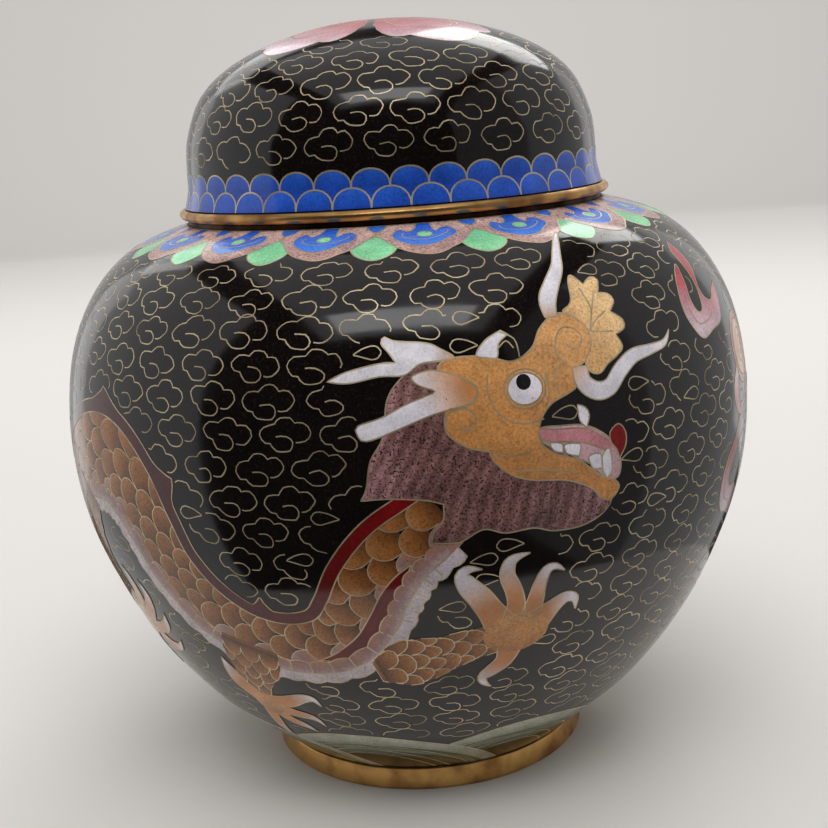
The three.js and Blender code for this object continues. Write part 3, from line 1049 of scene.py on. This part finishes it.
# %% Mouth
GUM = [(28.6, 118), (29, 115), (34, 112), (40, 108.5), (44, 104.8), (47.6, 104), (48.5, 108),
       (46, 113), (40, 117), (33, 118)]
figures.cell("rose", soft(GUM), 7, 0.8)
TONGUE = [(28.4, 117.8), (33, 117.3), (39.5, 116.5), (43.5, 114.4), (46.2, 112), (45, 110.6),
          (40, 113), (35, 114.2), (29.4, 115.2)]
figures.cell("rose", soft(TONGUE), 8, 0.62)
TONGUE_TIP = [(46, 114.5), (48.5, 116), (50.3, 114), (50.2, 111), tip(48.2, 108.2),
              (47.5, 110.5), (46.2, 112)]
figures.cell("red", soft(TONGUE_TIP), 8, 0.0)
TEETH = [[(30.7, 114.5), (33.5, 114), tip(33.6, 112), (31.5, 112.7)],
         [(34.2, 113.7), (38, 113.2), tip(37.5, 110.6), (34.5, 111.7)],
         [(40, 110), (43, 110.2), tip(43.5, 107), (41, 107.2)],
         [(43.5, 109.5), (45.5, 111), (46, 106), tip(44.5, 104.4), (43.5, 106.5)],
         [tip(38.2, 121.9), (40.2, 121), (41, 119.2), tip(40, 116.6), (38.4, 118.4)]]
for tooth in TEETH:
    figures.cell("horn", soft(tooth, step=0.8), 9, 1.0)
print("cells so far:", sum(map(len, figures.cells.values())))

# %% [markdown]
# ## Flames and the pearl
# The dragon chases a pearl with a spiral on it. Two large flames above and below it are closed
# outlines that run from red points to a white side, and two small licks are strokes.

# %% Flames and pearl
FLAME = [(88, 148.5), (84, 146), (80.5, 141), (79.5, 136.5), (81.4, 132.2), (85, 129.4),
         (91, 130.4), (98, 131.5), (102, 135.4), tip(107, 141.3), (101, 139.4), (97, 137.2),
         (93.6, 138.4), (92.8, 141.4), (95.6, 146), (96.2, 150), tip(94.6, 155), (91.2, 152),
         (91.8, 147), (91.6, 141.5), (89, 136), (86, 136), (85, 139.4), (86.6, 143.6)]
figures.cell("rose", soft(FLAME), 0, fade((90, 152), (86, 131), 0.0, 1.0))
figures.wire(soft([(82.4, 137), (84.4, 133.2), (89.6, 133), (94.6, 134.4)], closed=False), layer=1)
BOWL = [(103, 106.5), (99.3, 102), (94, 97.8), (91, 92.6), (91.4, 87), (95.4, 82.6), (101, 81),
        (106.5, 78.4), tip(112.5, 73.6), (112, 79.6), (108, 85), (104, 88), (98.8, 88.8),
        (96.2, 91.4), (97, 95), (101, 99)]
figures.cell("rose", soft(BOWL), 0, fade((102, 105), (97, 84), 0.0, 1.0))
figures.wire(soft([(98.4, 99), (93.8, 93), (95.4, 86.6), (103, 83.6)], closed=False), layer=1)
PEARL = (112, 122.5)
figures.cell("rose", oval(*PEARL, 9.4, 9.4, 40), 0, 0.2)
figures.cell("ochre", oval(*PEARL, 7.3, 7.3, 32), 1, 0.7)
spiral = [(PEARL[0] + r * math.cos(a), PEARL[1] + r * math.sin(a))
          for a, r in ((k * 0.35, 5.4 - 0.115 * k) for k in range(42))]
figures.wire(spiral, layer=1, width=0.36)
LICK = [[(104, 118, 1.2), (101, 113, 2.2), (103, 108, 1.4), (107.5, 106, 0.05)],
        [(120, 127, 1.2), (124, 133, 2.2), (122, 139, 1.4), (117, 142, 0.05)]]
for points in LICK:
    figures.cell("rose", stroke(points), 0, fade(points[0][:2], points[-1][:2], 0.9, 0.05))

# %% [markdown]
# ## Drops
# Small drops fill odd corners between the clouds. Each is one stroke with a round head.

# %% Drops
DROPS = [(-8.5, 137.7, 1), (13.5, 137.8, -1), (15, 144, -1), (35, 120.5, 1), (52, 152, 1),
         (56, 124, -1), (20.5, 92.8, -1), (14.5, 89.8, 1), (15.5, 84.7, -1), (7, 78, 1),
         (31.5, 63.7, 1), (52, 108, 1), (-54, 101.5, -1), (-20, 102, -1), (-27, 92, 1),
         (-66, 64, 1), (60, 96, -1), (74, 118, 1)]
kept_clear = Sheet("kept_clear", "jar", repeats=figures.repeats)
for x, y, way in DROPS:
    outline = stroke([(x - 3.2 * way, y - 0.3, 0.05), (x - 1.2 * way, y, 0.9), (x + way, y, 1.5),
                      (x + 2.4 * way, y, 1.2), (x + 3.1 * way, y, 0.3)], step=0.9)
    figures.wire(outline, True, width=CLOUD_WIRE)
    kept_clear.cell("black", outline, edge=False)

# %% [markdown]
# ## Waves round the foot
# Nine round-shouldered waves lap the foot, each over the one on its right. The depth below a
# wave's crest drives its tone, and the ramp turns that into pale, green and olive bands.

# %% Waves
borders = Sheet("border", "jar", face=BODY_FACE)
WAVES, CREST_TOP, FIRST_WAVE = 9, 29.3, -29
WAVE = GIRTH / WAVES
LEFT_FALL, RIGHT_FALL = 0.0095, 0.0068
WAVE_FOOT, WIRE_FLOOR, BAND_DEPTH = 0.15, 0.3, 25
WAVE_WIRES = ((0, 1, 0.5), (7, 1.35, 0.36), (11.5, 1.75, 0.36), (15, 2.2, 0.3))


def arc_height(dx, sink=0.0, tight=1.0):
    fall = (LEFT_FALL if dx < 0 else RIGHT_FALL) * tight
    return CREST_TOP - sink - fall * dx * dx


def wave_line(sink, tight):
    """Visible part of an arc: from where the wave on the left covers it down to the floor."""
    line, dx = [], -WAVE
    while dx < WAVE * 1.3:
        height = arc_height(dx, sink, tight)
        if height > arc_height(dx + WAVE) and height > WIRE_FLOOR:
            line.append((dx, height))
        dx += 1.0
    return line


crest_line = wave_line(0, 1)
start, stop = crest_line[0], crest_line[-1]
foot_line = [(dx, WAVE_FOOT) for dx in steps(stop[0] + 1, 1.5, 3)]
cover_line = [(dx, max(arc_height(dx + WAVE), WAVE_FOOT)) for dx in steps(1.5, start[0], 2)]
for k in range(WAVES):
    middle = FIRST_WAVE + k * WAVE
    outline = [(middle + dx, y) for dx, y in crest_line + foot_line + cover_line[1:]]
    borders.cell("wave", outline, 0,
                 lambda x, y, m=middle: (arc_height(x - m) - y) / BAND_DEPTH, edge=False)
    for sink, tight, width in WAVE_WIRES:
        borders.wire([(middle + dx, y) for dx, y in wave_line(sink, tight)], width=width)

# %% [markdown]
# ## Lappets round the neck
# Seventeen pink lappets hang from the neck, each with a blue blossom, and a green leaf grows
# between each two. One lappet is drawn and repeated.

# %% Lappets
LAPPETS, FIRST_LAPPET = 17, 10
LAPPET = GIRTH / LAPPETS
PINK = [(-14.6, 170.4), (-10.4, 166), (-6.3, 163.6), (-1, 162.2), (3, 162.6), (6.4, 164.2),
        (10.4, 166.2), (14.6, 170.4), (17.1, 172.8), tip(17.1, 178.6), tip(-17.1, 178.6),
        (-17.1, 172.8)]
BLOSSOM = [tip(-2.5, 178.5), (-3.6, 175.4), (-6, 173.8), (-8.6, 175.4), (-10.8, 174),
           (-11.4, 171.4), (-9.6, 169), (-5.6, 166.6), (-1, 165.8), (3.4, 166.9), (6.6, 168.8),
           (9.6, 170.4), (10.7, 172.6), (8.8, 175.2), (5.6, 174.9), (3.4, 173.4),
           tip(2.6, 178.5)]
LEAF = [tip(0, 174), (-4.6, 171), (-7.4, 167.5), (-5.6, 163.4), (0, 161.2), (5.6, 163.4),
        (7.4, 167.5), (4.6, 171)]
CORNER = [tip(0, 174.4), (-2.8, 176.4), tip(-3.6, 178.5), tip(3.6, 178.5), (2.8, 176.4)]
PETAL_LINE = [(-7.6, 173), (-8, 171), (-4.6, 169.4), (-0.6, 169), (3.6, 170), (7.4, 172),
              (8, 173.4)]


def at_lappet(k, line, aside=0.0):
    return [(x + (FIRST_LAPPET + k * LAPPET) + aside, y) for x, y in line]


for k in range(LAPPETS):
    borders.cell("green", at_lappet(k, soft(LEAF), LAPPET / 2), 0,
                 fade((0, 162), (0, 171), 0.95, 0.7))
    borders.cell("petal", at_lappet(k, soft(PINK)), 1, fade((0, 162), (0, 178)))
    borders.cell("blue", at_lappet(k, soft(BLOSSOM)), 2, fade((0, 166), (0, 177), 0.95, 0.55))
    borders.wire(at_lappet(k, soft(PETAL_LINE, closed=False)), layer=2, width=0.3)
    borders.cell("green", at_lappet(k, oval(-0.5, 171.8, 2.5, 1.5, 16)), 3, 0.9)
    borders.cell("blue", at_lappet(k, soft(CORNER), LAPPET / 2), 2, 0.7)
print("border cells:", sum(map(len, borders.cells.values())))

# %% [markdown]
# ## Cloud scrolls
# The black ground is held by hundreds of small cloud scrolls, which also keep the thick glass
# from cracking. One cloud is drawn as a wire of a few dozen faces, then copied in rows, each with
# a little turn and stretch, as if bent by hand. What would lie on a figure or border is cut away.

# %% Cloud template
CLOUD = [(2.5, -2), (4.4, -1.9), (6, 0.2), (4.6, 2.2), tip(2.6, 2.2), (1.6, 3.5), (-0.8, 3.5),
         tip(-2.2, 2.1), (-4.7, 1.9), (-6, 0.2), (-4.9, -1.7), tip(-3.6, -1.9), (-2.2, -3.5),
         (0.9, -3.6), (1.8, -1.9), (0.4, -0.5), (-2, -0.6)]


bm = bmesh.new()
bend_wire(bm, bm.verts.layers.int.new("spot"), soft(CLOUD, closed=False, step=1.05), False, LIFT,
          CLOUD_WIRE)
template = bpy.data.meshes.new("cloud_template")
bm.to_mesh(template)
bm.free()
print("one cloud:", len(template.polygons), "faces")


# %% Scatter the clouds
ROW_STEP, CLOUD_PITCH, LID_CLOUD_PITCH, CLOUD_START = 7.5, 14.2, 14.0, -170
CLEARANCE, MOSTLY, LEAST_FACES = 0.75, 0.55, 7


def scatter_clouds(sheet, rows, pitch, blocked, start):
    bm = bmesh.new()
    around = TURN * sheet.face.girth
    placed, doomed = 0, []
    for row, y in enumerate(rows):
        stretch = sheet.stretch(y)
        count = round(around / (pitch * stretch))
        for k in range(count):
            x = start + around * (k + 0.5 * (row % 2)) / count
            size = rng.uniform(0.93, 1.05)
            lean = rng.uniform(-0.12, 0.12)
            x, y_here = x + rng.uniform(-0.6, 0.6), y + rng.uniform(-0.4, 0.4)
            first = len(bm.verts)
            bm.from_mesh(template)
            bm.verts.ensure_lookup_table()
            new = bm.verts[first:]
            for v in new:
                bend = noise.noise_vector(Vector((v.co.x * 0.3, v.co.y * 0.3, k * 7.3 + row)))
                dx = (v.co.x + bend.x * 0.5) * size
                dy = (v.co.y + bend.y * 0.4) * size
                v.co.x = x + (dx * math.cos(lean) - dy * math.sin(lean)) * stretch
                v.co.y = y_here + dx * math.sin(lean) + dy * math.cos(lean)
            hidden = [v for v in new if near(blocked, v.co)]
            if len(hidden) > MOSTLY * len(new):
                hidden = new
            doomed += hidden
            placed += hidden is not new
    bmesh.ops.delete(bm, geom=doomed, context="VERTS")
    drop_crumbs(bm)
    return bm, placed


def drop_crumbs(bm):
    """Delete the pieces of wire that are only a few faces long."""
    seen, crumbs = set(), []
    for face in bm.faces:
        if face in seen:
            continue
        strip, ends = {face}, [face]
        while ends:
            for edge in ends.pop().edges:
                fresh = [other for other in edge.link_faces if other not in strip]
                strip.update(fresh)
                ends += fresh
        seen |= strip
        if len(strip) < LEAST_FACES:
            crumbs += strip
    bmesh.ops.delete(bm, geom=crumbs, context="FACES")


def near(trees, spot):
    flat = Vector((spot.x, spot.y, 0))
    return any(tree.find_nearest(flat, CLEARANCE)[0] is not None for tree in trees)


rng = random.Random(11)
noise.seed_set(11)  # without a seed this noise differs on every run
blocked = [figures.cover(), kept_clear.cover()]
for shift in (-GIRTH, 0, GIRTH):
    aside = Sheet("aside", "jar", repeats=(shift,))
    for line, *_ in sum(borders.cells.values(), []):
        aside.cell("black", line, edge=False)
    blocked.append(aside.cover())
rows = [30.5 + ROW_STEP * k for k in range(18)]
clouds, count = scatter_clouds(figures, rows, CLOUD_PITCH, blocked, CLOUD_START)
print("clouds:", count, "faces:", len(clouds.faces))
wrap_strips(figures, clouds, "body_cloud_wires")

# %% [markdown]
# ## The lid
# The lid repeats the black ground and clouds. Two rows of blue scales run round its rim, and a
# five-petalled blossom covers the crown, white at the rim and red at its heart.

# %% Lid side
lid_side = Sheet("lid", "lid", face=LID_FACE)
SCALLOPS, FIRST_SCALLOP, RIM_LINE = 38, 4.0, 0.02
SCALLOP = LID_GIRTH / SCALLOPS
SCALLOP_ROWS = ((9.1, 4.9, FIRST_SCALLOP), (4.9, RIM_LINE, FIRST_SCALLOP + SCALLOP / 2))
for k in range(SCALLOPS):
    for row, (top, low, aside) in enumerate(SCALLOP_ROWS):
        middle = k * SCALLOP + aside
        arch = [(middle + SCALLOP / 2 * math.sin(a), low + (top - low) * math.cos(a) ** 0.8)
                for a in (math.pi * j / 12 for j in range(-6, 7))]
        shape = arch + [(middle + SCALLOP / 2, RIM_LINE), (middle - SCALLOP / 2, RIM_LINE)]
        lid_side.cell("blue", shape, row, fade((0, low), (0, top), 0.25, 0.65), edge=False,
                      cut=FINE_CUT)
        lid_side.wire(arch, layer=row, width=0.4)

# %% Crown blossom
crown = Sheet("crown", "lid", on_crown)
PETALS, FIRST_PETAL = 5, math.radians(28)
OUTER, MIDDLE, INNER = (40, 0.58, 0.12), (30, 0.45, 0.09), (20, 0.34, 0.06)
PETAL_TONES = ((OUTER, -0.4, 1.15), (MIDDLE, -0.3, 0.75), (INNER, 0.0, 0.4))


def petal(turn_by, reach, wide, lobe):
    """Outline of one petal with two round lobes, from the heart outwards."""
    line = []
    for k in range(25):
        t = -1 + k / 12
        far = reach * (1 - lobe * (1 - abs(math.cos(math.pi * t))) - 0.42 * abs(t) ** 5)
        a = turn_by + wide * t
        line.append((far * math.sin(a), -far * math.cos(a)))
    inner = [(4 * math.sin(turn_by + wide * t), -4 * math.cos(turn_by + wide * t))
             for t in (1, 0, -1)]
    return line + inner


def heartwards(reach, first, last):
    return lambda x, y: first + (last - first) * min(math.hypot(x, y) / reach, 1)


for k in range(PETALS):
    at = FIRST_PETAL + TURN * k / PETALS
    for layer, (size, first, last) in enumerate(PETAL_TONES):
        crown.cell("rose", petal(at, *size), layer, heartwards(size[0], first, last))
crown.cell("ochre", oval(0, 0, 6, 6, 24), 3, 0.7)
for k in range(8):
    a = TURN * k / 8
    crown.wire([(1.5 * math.cos(a), 1.5 * math.sin(a)), (5 * math.cos(a), 5 * math.sin(a))],
               layer=3)

# %% Lid clouds
def unrolled_petals():
    """The outer petals drawn on the lid's side sheet, to keep clouds off them and the scales."""
    shadow = Sheet("shadow", "lid")
    for shift in (-LID_GIRTH, 0, LID_GIRTH):
        for k in range(PETALS):
            at = FIRST_PETAL + TURN * k / PETALS
            line = []
            for x, y in petal(at, *OUTER)[:25]:
                a = at + math.remainder(math.atan2(x, -y) - at, TURN)
                line.append((a * LID_FACE.girth + shift, LID_FACE.length - math.hypot(x, y)))
            line += [(line[-1][0], 80), (line[0][0], 80)]
            shadow.cell("rose", line, edge=False)
        shadow.cell("blue", [(shift, 0), (shift + LID_GIRTH, 0), (shift + LID_GIRTH, 9.5),
                             (shift, 9.5)], edge=False)
    return shadow


lid_rows = [14.9 + ROW_STEP * k for k in range(5)]
clouds, count = scatter_clouds(lid_side, lid_rows, LID_CLOUD_PITCH, [unrolled_petals().cover()], 0)
print("lid clouds:", count)
wrap_strips(lid_side, clouds, "lid_cloud_wires")

# %% Wrap the sheets
for sheet in (figures, borders, lid_side, crown):
    for piece in [wrap_cells(sheet, finish) for finish in sheet.cells] + [wrap_wires(sheet)]:
        print(piece.name, len(piece.data.polygons))

# %% [markdown]
# ## Floor and light
# The jar stands on a small pale table that its gloss can mirror. The wide floor around it is seen
# by the camera alone, so the black glass has something dark to show, as it does in a room. Panels
# of light take the place of the room: side walls, a back wall, a ceiling with a front strip, and
# two windows that make the streaks on the shoulder. Three large fills light the jar and the
# backdrop from above, and are kept out of the gloss.

# %% Studio
def plain_surface(name, section, shade):
    """A round pale surface, turned from its section like the jar itself."""
    bm = bmesh.new()
    loop = [bm.verts.new((r, 0, z)) for r, z in section]
    chain = [bm.edges.new(pair) for pair in zip(loop, loop[1:])]
    bmesh.ops.spin(bm, geom=loop + chain, axis=(0, 0, 1), cent=(0, 0, 0), steps=96, angle=TURN,
                   use_merge=True)
    bmesh.ops.remove_doubles(bm, verts=bm.verts[:], dist=1e-6)
    face_up(bm)
    mesh = bpy.data.meshes.new(name)
    bm.to_mesh(mesh)
    bm.free()
    material, _, shader = new_material(name)
    shader.inputs["Base Color"].default_value = colour(*shade)
    shader.inputs["Roughness"].default_value = 0.8
    shader.inputs["Specular IOR Level"].default_value = 0.1
    mesh.materials.append(material)
    surface = bpy.data.objects.new(name, mesh)
    scene.collection.objects.link(surface)
    surface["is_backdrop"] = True
    return surface


PALE = (226, 222, 218)
TABLE, SWEEP, REACH, SINK = 0.155, 1.2, 1.8, 0.00005
plain_surface("table_top", [(0, 0), (TABLE, 0)], PALE)
sweep = [(REACH + SWEEP * math.sin(a), SWEEP * (1 - math.cos(a)) - SINK)
         for a in steps(0, math.pi / 2, 0.1)]
floor = plain_surface("floor", [(0, -SINK), *sweep, (REACH + SWEEP, 4)], PALE)
floor.visible_glossy = False
floor.visible_diffuse = False


def soft_box(name, place, aim, width, height, watts):
    data = bpy.data.lights.new(name, "AREA")
    data.shape, data.size, data.size_y = "RECTANGLE", width, height
    data.energy = watts
    lamp = bpy.data.objects.new(name, data)
    lamp.location = place
    direction = Vector(aim) - Vector(place)
    lamp.rotation_euler = direction.to_track_quat("-Z", "Y").to_euler()
    lamp.visible_camera = False
    scene.collection.objects.link(lamp)
    return lamp


soft_box("left_wall", (-0.9, 0.45, 0.2), (0, 0.45, 0.2), 1.7, 2.0, 6.4)
soft_box("right_wall", (0.9, 0.6, 0.2), (0, 0.6, 0.2), 1.6, 2.0, 4.4)
soft_box("right_veil", (0.9, -0.75, 0.2), (0, -0.75, 0.2), 1.1, 2.0, 1.2)
back = soft_box("back_wall", (0, 1.6, 0.3), (0, 0, 0.3), 3.6, 1.6, 9)
back.visible_diffuse = False
soft_box("ceiling", (0, 0, 1.1), (0, 0, 0), 1.1, 1.9, 3.8)
soft_box("front_strip", (0, -0.7, 1.09), (0, -0.7, 0), 0.8, 0.3, 2.2)
soft_box("left_window", (-0.44, 0.83, 0.74), (0, 0, 0.17), 0.5, 0.3, 0.6)
soft_box("right_window", (0.40, 0.78, 0.82), (0, 0, 0.17), 0.6, 0.3, 2)
for name, place, aim, across, watts in (("wide_fill", (0, 0, 3.2), (0, 0, 0), 6, 50),
                                        ("front_fill", (0, -1.7, 2.9), (0, 0, 0.1), 3, 42),
                                        ("backdrop_fill", (0, 1.1, 2.1), (0, 2.8, 1.2), 1.4, 26)):
    fill = soft_box(name, place, aim, across, across, watts)
    fill.visible_glossy = False
world = bpy.data.worlds.new("room")
world.use_nodes = True
scene.world = world
sky = world.node_tree.nodes["Background"]
rays = add_node(world.node_tree, "LightPath")
strength = scaled_range(world.node_tree, rays["Is Camera Ray"], 0.05, 0.75, start=0.0, stop=1.0)
sky.inputs["Color"].default_value = colour(236, 230, 226)
world.node_tree.links.new(strength, sky.inputs["Strength"])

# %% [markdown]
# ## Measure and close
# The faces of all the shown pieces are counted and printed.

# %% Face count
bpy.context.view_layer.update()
total = sum(len(o.data.polygons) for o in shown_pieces() if o.type == "MESH")
print("faces:", total)
